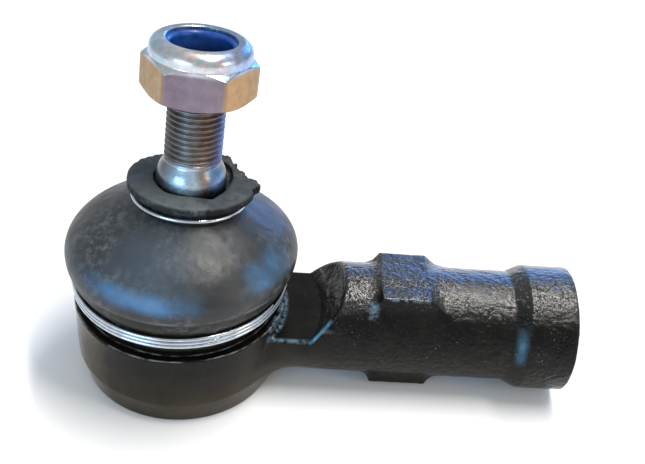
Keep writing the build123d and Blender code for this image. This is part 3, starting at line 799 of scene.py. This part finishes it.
# the lip's torn rim and its worn hole: degrees round the stud from the shank's side, radius
RIM = [(-180, 10.85), (-150, 10.8), (-110, 10.65), (-80, 10.6), (-71, 10.5), (-69, 10.15), (-66, 10.7),
       (-50, 10.8), (-34, 10.95), (-20, 11.15), (-12, 11.2), (-8, 10.95), (-5, 11.0), (-1, 11.6), (3, 11.95),
       (8, 11.2), (12, 11.0), (17, 10.6), (21, 10.45), (27, 10.0), (31, 9.95), (36, 9.65), (41, 9.9),
       (44, 10.3), (47, 10.75), (51, 10.6), (54, 11.1), (59, 11.5), (63, 11.2), (68, 10.7), (80, 10.8),
       (128, 10.6), (150, 10.8), (180, 10.85)]
HOLE = [(-180, 6.4), (-157, 6.2), (-122, 6.75), (-84, 6.25), (-72, 6.6), (-57, 7.6), (-46, 7.0), (-20, 6.6),
        (1, 6.8), (15, 7.3), (30, 8.05), (45, 9.0), (54, 9.5), (64, 9.2), (76, 7.8), (90, 6.8), (120, 6.5),
        (166, 6.6), (180, 6.4)]
# the lip's edge, as how far it stands out from the rim, and its place along the stud
LIP_EDGE = [(-0.8, 23.0), (-0.25, 23.02), (-0.05, 23.15), (0.0, 23.4), (0.03, 23.8), (0.0, 24.2),
            (-0.08, 24.45), (-0.25, 24.58)]
LIP_TOP = 24.62
BOOT_COLS = 360
ANGLE = np.arange(BOOT_COLS) * TAU / BOOT_COLS
DEGREES = (np.degrees(ANGLE) + 180) % 360 - 180


def round_off(values, width):
    """Averages values round the turn over this many columns."""
    kernel = np.hanning(width + 2)[1:-1]
    spread = np.concatenate([values[-width:], values, values[:width]])
    return np.convolve(spread, kernel / kernel.sum(), "same")[width:-width]


def round_the_stud(table, width):
    """One radius for each column, from a table of degrees and radii."""
    return round_off(np.interp(DEGREES, [q[0] for q in table], [q[1] for q in table]), width)


def ring_points(d, share, shift, r, up=0.0):
    """Points in mm of one ring of the boot; r and up are numbers or one value per column."""
    m = np.array(stud_matrix(share, d))
    centre = m[:3, 3] / MM + np.array([shift, 0, 0])
    local = np.stack([r * np.cos(ANGLE), r * np.sin(ANGLE), up + 0 * ANGLE])
    return centre + (m[:3, :3] @ local).T


def boot_rings():
    """The boot's skin, ring by ring: up its outside, over the torn lip, down its hole and down its inside."""
    rim = round_the_stud(RIM, 3)
    hole = round_the_stud(HOLE, 7)
    torn = smooth_step(-14, -6, DEGREES) * smooth_step(70, 62, DEGREES)
    ragged = np.array([noise.noise(Vector((math.cos(a) * 9, math.sin(a) * 9, 2.0)))
                       + 0.6 * noise.noise(Vector((math.cos(a) * 23, math.sin(a) * 23, 5.0))) for a in ANGLE])
    rim = rim + ragged * (0.10 + 0.75 * torn)
    lift = 0.12 * np.sin(2 * ANGLE + 1.0) + 0.45 * torn * smooth_step(50, 58, DEGREES) + 0.15 * ragged
    rings = [ring_points(d, share, shift, r) for r, d, share, shift in spline(OUTSIDE, 0.2)]
    for out, d in LIP_EDGE:
        rings.append(ring_points(d, 1.0, 0.0, rim + out, lift * smooth_step(22.8, 24.6, d)))
    outer = rim + LIP_EDGE[-1][0]
    for t in np.linspace(0.1, 0.93, 12):
        across = outer + (hole + 0.15 - outer) * t
        rings.append(ring_points(LIP_TOP - 0.05 * t, 1.0, 0.0, across, lift * (1 - t)))
    for out, d in [(0.03, 24.5), (0.0, 24.3), (0.0, 23.9), (0.0, 23.5)]:
        rings.append(ring_points(d, 1.0, 0.0, hole + out))
    for d, most in [(23.2, 8.6), (22.9, 8.1), (22.4, 7.7), (22.0, 7.3), (21.8, 6.8)]:
        rings.append(ring_points(d, 1.0, 0.0, np.minimum(hole, most)))
    rings += [ring_points(d, share, shift, r) for r, d, share, shift in spline(INSIDE, 0.6)]
    return np.array(rings)


rings = boot_rings()
boot = make_object("rubber_boot", rings * MM, grid_faces(len(rings), BOOT_COLS, True))
dress(boot, "boot_rubber")
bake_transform(boot)
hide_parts("boot")

# ---------------------------------------------------------------- the pieces whose solids already look right
for node, slot in (("closing_plate", "plate_steel"), ("bearing_upper", "seat_plastic"),
                   ("bearing_lower", "seat_plastic"), ("preload_spring", "spring_steel")):
    dress(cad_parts[node], slot)

# ---------------------------------------------------------------- wire rings
STEPS_PER_TURN = 300
AROUND_WIRE = 24


def wound_wire(name, ring_radius, wire_radius, pitch, turns, foot, start_angle, matrix, body, node):
    """A ring of round wire wound as a helix about Z; foot is the height at which the wire begins."""
    steps = int(turns * STEPS_PER_TURN)
    t = np.arange(steps + 1) / steps
    a = start_angle + t * turns * TAU
    centre = np.stack([ring_radius * np.cos(a), ring_radius * np.sin(a), foot + pitch * turns * t], -1)
    out = np.stack([np.cos(a), np.sin(a), 0 * a], -1)[:, None, :]
    up = np.array([0, 0, 1.0])
    phi = (np.arange(AROUND_WIRE) * TAU / AROUND_WIRE)[None, :, None]
    tube = centre[:, None, :] + wire_radius * (np.cos(phi) * out + np.sin(phi) * up)
    obj = make_object(name, tube * MM, grid_faces(steps + 1, AROUND_WIRE)[:, ::-1], matrix)
    dress(obj, "ring_wire")
    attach(obj, body)
    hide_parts(node)


wound_wire("lower_wire_ring", ring_radius=19.03, wire_radius=0.335, pitch=0.78, turns=2.35, foot=19.34,
           start_angle=math.radians(-155), matrix=None, body="housing", node="boot_ring_lower")
wound_wire("upper_wire_ring", ring_radius=9.72, wire_radius=0.43, pitch=0.87, turns=1.2, foot=21.3,
           start_angle=2.2, matrix=stud_matrix(), body="boot_lip", node="boot_ring_upper")

# ---------------------------------------------------------------- camera
camera = bpy.data.cameras.new("camera")
camera.sensor_width = 36.0
camera.lens = 53.30
camera.clip_start = 0.01
cam = bpy.data.objects.new("camera", camera)
right = Vector((0.99585, -0.01297, 0.09009)).normalized()
forward = Vector((0.06472, 0.79692, -0.60061)).normalized()
up = right.cross(forward).normalized()
right = forward.cross(up)
view = Matrix.Identity(4)
for row in range(3):
    view[row][0], view[row][1], view[row][2] = right[row], up[row], -forward[row]
view.translation = Vector((0.013764, -0.133833, 0.131761))
cam.matrix_world = view
bpy.context.scene.collection.objects.link(cam)
bpy.context.scene.camera = cam

# ---------------------------------------------------------------- floor and light
floor = make_object("floor", [(-3, -3, 0), (3, -3, 0), (3, 3, 0), (-3, 3, 0)], [(0, 1, 2, 3)], smooth=False)
mat, tree, bsdf, vec = nodes_of("pale_floor")
feed(tree, bsdf.inputs["Base Color"],
     mottled(tree, vec, 60, 2, (0.3, (0.90, 0.90, 0.90)), (0.7, (0.93, 0.93, 0.925))))
bsdf.inputs["Roughness"].default_value = 0.9
bsdf.inputs["Specular IOR Level"].default_value = 0.1
floor.data.materials.append(mat)


PART_MIDDLE = Vector((0.02, 0.0, 0.02))


def area_light(name, place, size, power, colour):
    """A rectangular light aimed at the middle of the part."""
    data = bpy.data.lights.new(name, "AREA")
    data.shape = "RECTANGLE"
    data.size, data.size_y = size
    data.energy = power
    data.color = colour
    lamp = bpy.data.objects.new(name, data)
    lamp.location = place
    aim = PART_MIDDLE - Vector(place)
    lamp.rotation_euler = aim.to_track_quat("-Z", "Y").to_euler()
    bpy.context.scene.collection.objects.link(lamp)


area_light("overhead", (0.17, 0.04, 0.60), (0.44, 0.05), 3.6, (1.0, 0.96, 0.92))
area_light("cool_back", (0.27, 0.60, 0.17), (0.34, 0.12), 1.15, (0.07, 0.35, 1.0))
area_light("cool_left", (-0.36, -0.52, 0.18), (0.30, 0.28), 1.5, (0.45, 0.74, 1.0))
area_light("warm_right", (0.55, -0.25, 0.25), (0.14, 0.20), 0.6, (1.0, 0.78, 0.55))

world = bpy.data.worlds.new("world")
bpy.context.scene.world = world
world.use_nodes = True
sky = world.node_tree.nodes["Background"]
sky.inputs["Color"].default_value = (0.94, 0.97, 1.0, 1.0)
sky.inputs["Strength"].default_value = 0.62
bpy.context.scene.view_settings.view_transform = "Standard"
